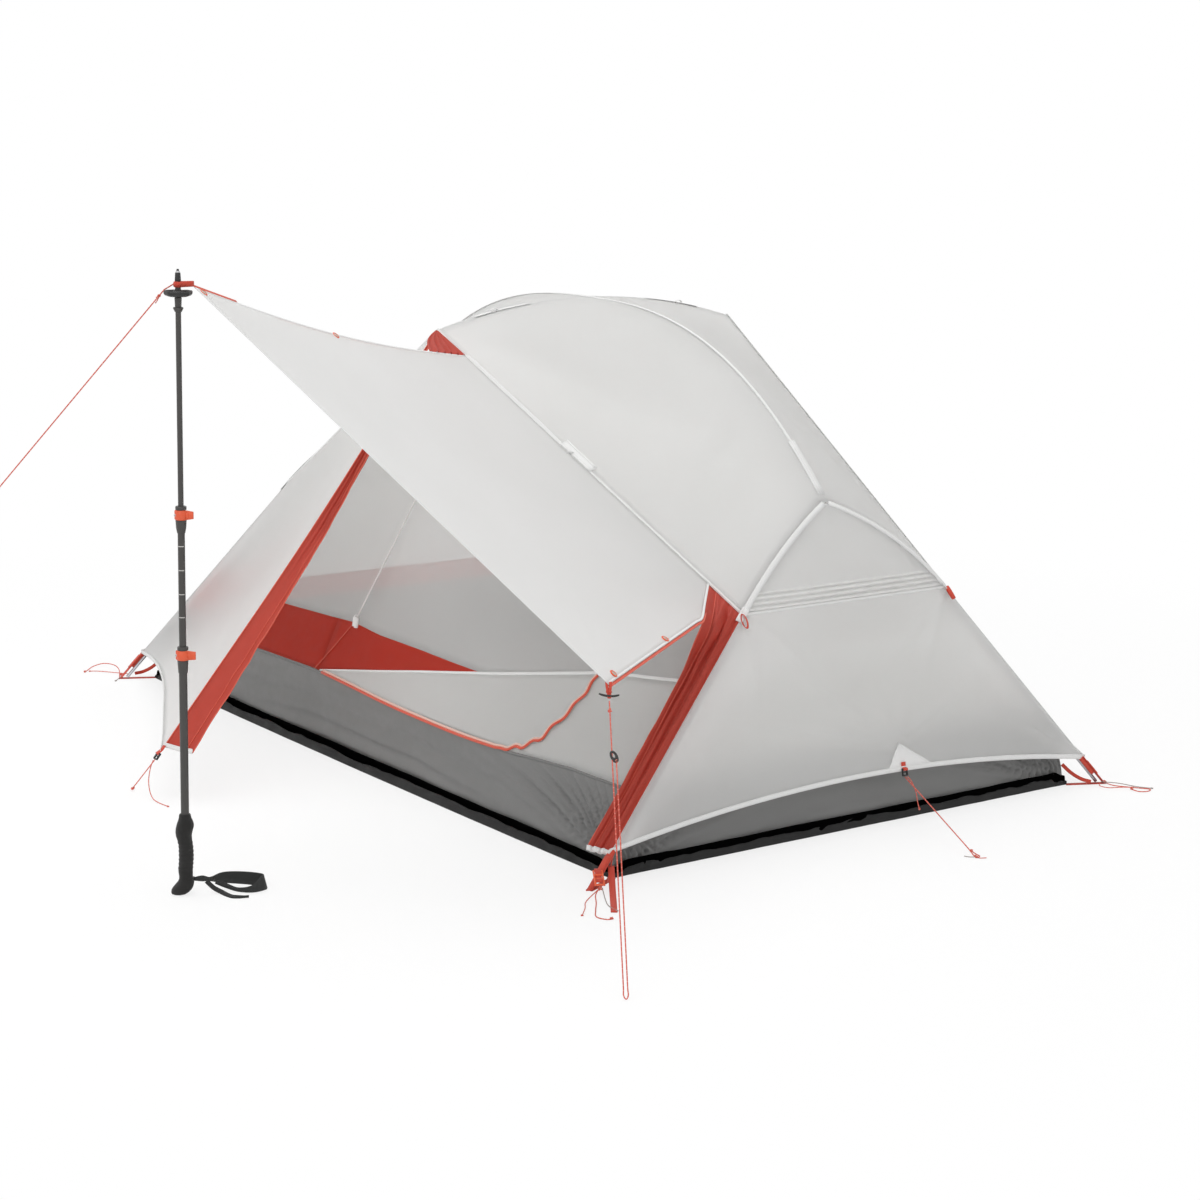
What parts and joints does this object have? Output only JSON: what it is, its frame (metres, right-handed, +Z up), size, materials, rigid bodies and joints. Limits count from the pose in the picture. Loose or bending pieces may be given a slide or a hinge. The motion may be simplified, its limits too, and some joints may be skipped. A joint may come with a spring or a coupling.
{
  "type": "backpacking tent",
  "caption": "Low two-person backpacking tent with a bathtub floor, groundsheet, poled inner tent and a rainfly whose vestibule door is held up as an awning on a trekking pole.",
  "frame": {"origin": "centre of the groundsheet's underside, on the ground", "axes": "+Z up, +X along the sleeping length, -Y out of the raised vestibule door"},
  "size_m": [2.9431, 3.0093, 1.281],
  "materials": {
    "fly_cloth": "coated ripstop, slightly translucent",
    "rust_cloth": "matt",
    "floor_cloth": "coated, satin",
    "groundsheet_cloth": "coated, satin",
    "inner_cloth": "thin mesh and cloth",
    "zip_tape": "matt",
    "webbing": "woven, matt",
    "black_webbing": "woven, matt",
    "cord": "woven, matt",
    "white_cord": "smooth",
    "pale_plastic": "satin",
    "black_plastic": "satin",
    "orange_plastic": "satin",
    "pole_tube": "anodised",
    "shaft": "lacquered fibre tube",
    "grip_foam": "matt foam"
  },
  "bodies": {
    "tent": {"awning_welt": "fly_cloth", "bathtub_floor": "floor_cloth", "corner_strap_back_left": "webbing", "corner_strap_back_right": "webbing", "corner_strap_front_left": "webbing", "corner_strap_front_right": "webbing", "door_zip": "zip_tape", "fly_back": "fly_cloth", "fly_end_left": "fly_cloth", "fly_end_right": "fly_cloth", "fly_front": "fly_cloth", "groundsheet": "groundsheet_cloth", "guyline_side": "cord", "hem_cord": "cord", "hem_tensioner_left": "black_plastic", "hem_tensioner_right": "black_plastic", "hub_left": "black_plastic", "hub_right": "black_plastic", "inner_clip": "pale_plastic", "inner_door": "inner_cloth", "inner_roof": "inner_cloth", "inner_tie_cord": "white_cord", "inner_wall_back": "inner_cloth", "inner_wall_front": "inner_cloth", "inner_wall_left": "inner_cloth", "inner_wall_right": "inner_cloth", "leg_back_left": "pole_tube", "leg_back_right": "pole_tube", "leg_front_left": "pole_tube", "leg_front_right": "pole_tube", "pole_grip": "grip_foam", "pole_lower_shaft": "shaft", "ridge_pole": "pole_tube", "spreader_pole": "pole_tube", "stake_cord_back_right": "cord", "stake_cord_front": "cord", "stake_cord_front_left": "cord", "stake_cord_front_right": "cord", "stake_tensioner_back": "black_plastic", "stake_tensioner_front": "black_plastic", "storm_flap_left": "rust_cloth", "storm_flap_right": "rust_cloth", "vestibule_back": "fly_cloth", "vestibule_back_door": "fly_cloth", "vestibule_front": "fly_cloth", "wrist_strap": "black_webbing"},
    "awning": {"awning_door": "fly_cloth", "awning_corner_loop": "webbing", "guyline_toggle": "black_plastic"},
    "pole_middle": {"pole_middle_shaft": "shaft"},
    "pole_upper": {"pole_upper_shaft": "shaft", "pole_basket": "black_plastic", "tip_loop": "webbing", "guyline_tip": "cord"},
    "lever_lower": {"lock_lever_lower": "orange_plastic"},
    "lever_upper": {"lock_lever_upper": "orange_plastic"},
    "guyline_tensioner": {"line_tensioner": "black_plastic"},
    "corner_buckle": {"ladder_lock": "orange_plastic"}
  },
  "joints": [
    {"name": "awning_swing", "type": "hinge", "parent": "tent", "child": "awning", "pos_m": [0.1013, -0.4353, 1.0015], "axis": [0.8771, 0.1273, -0.4632], "range_deg": [0, 48]},
    {"name": "middle_section_slide", "type": "slide", "parent": "tent", "child": "pole_middle", "axis": [0, 0, 1], "range_m": [-0.2, 0]},
    {"name": "upper_section_slide", "type": "slide", "parent": "pole_middle", "child": "pole_upper", "axis": [0, 0, 1], "range_m": [-0.2, 0]},
    {"name": "lower_lever_hinge", "type": "hinge", "parent": "tent", "child": "lever_lower", "pos_m": [0.66342, -1.49294, 0.50325], "axis": [0, 0, -1], "range_deg": [0, 110]},
    {"name": "upper_lever_hinge", "type": "hinge", "parent": "pole_middle", "child": "lever_upper", "pos_m": [0.66413, -1.49197, 0.79125], "axis": [0, 0, -1], "range_deg": [0, 110]},
    {"name": "line_tensioner_slide", "type": "slide", "parent": "tent", "child": "guyline_tensioner", "axis": [0.5748, -0.35, -0.7397], "range_m": [-0.09, 0.4]},
    {"name": "ladder_lock_tilt", "type": "hinge", "parent": "tent", "child": "corner_buckle", "pos_m": [1.10449, -0.75066, 0.03896], "axis": [-0.4648, -0.8854, 0], "range_deg": [0, 60]}
  ]
}
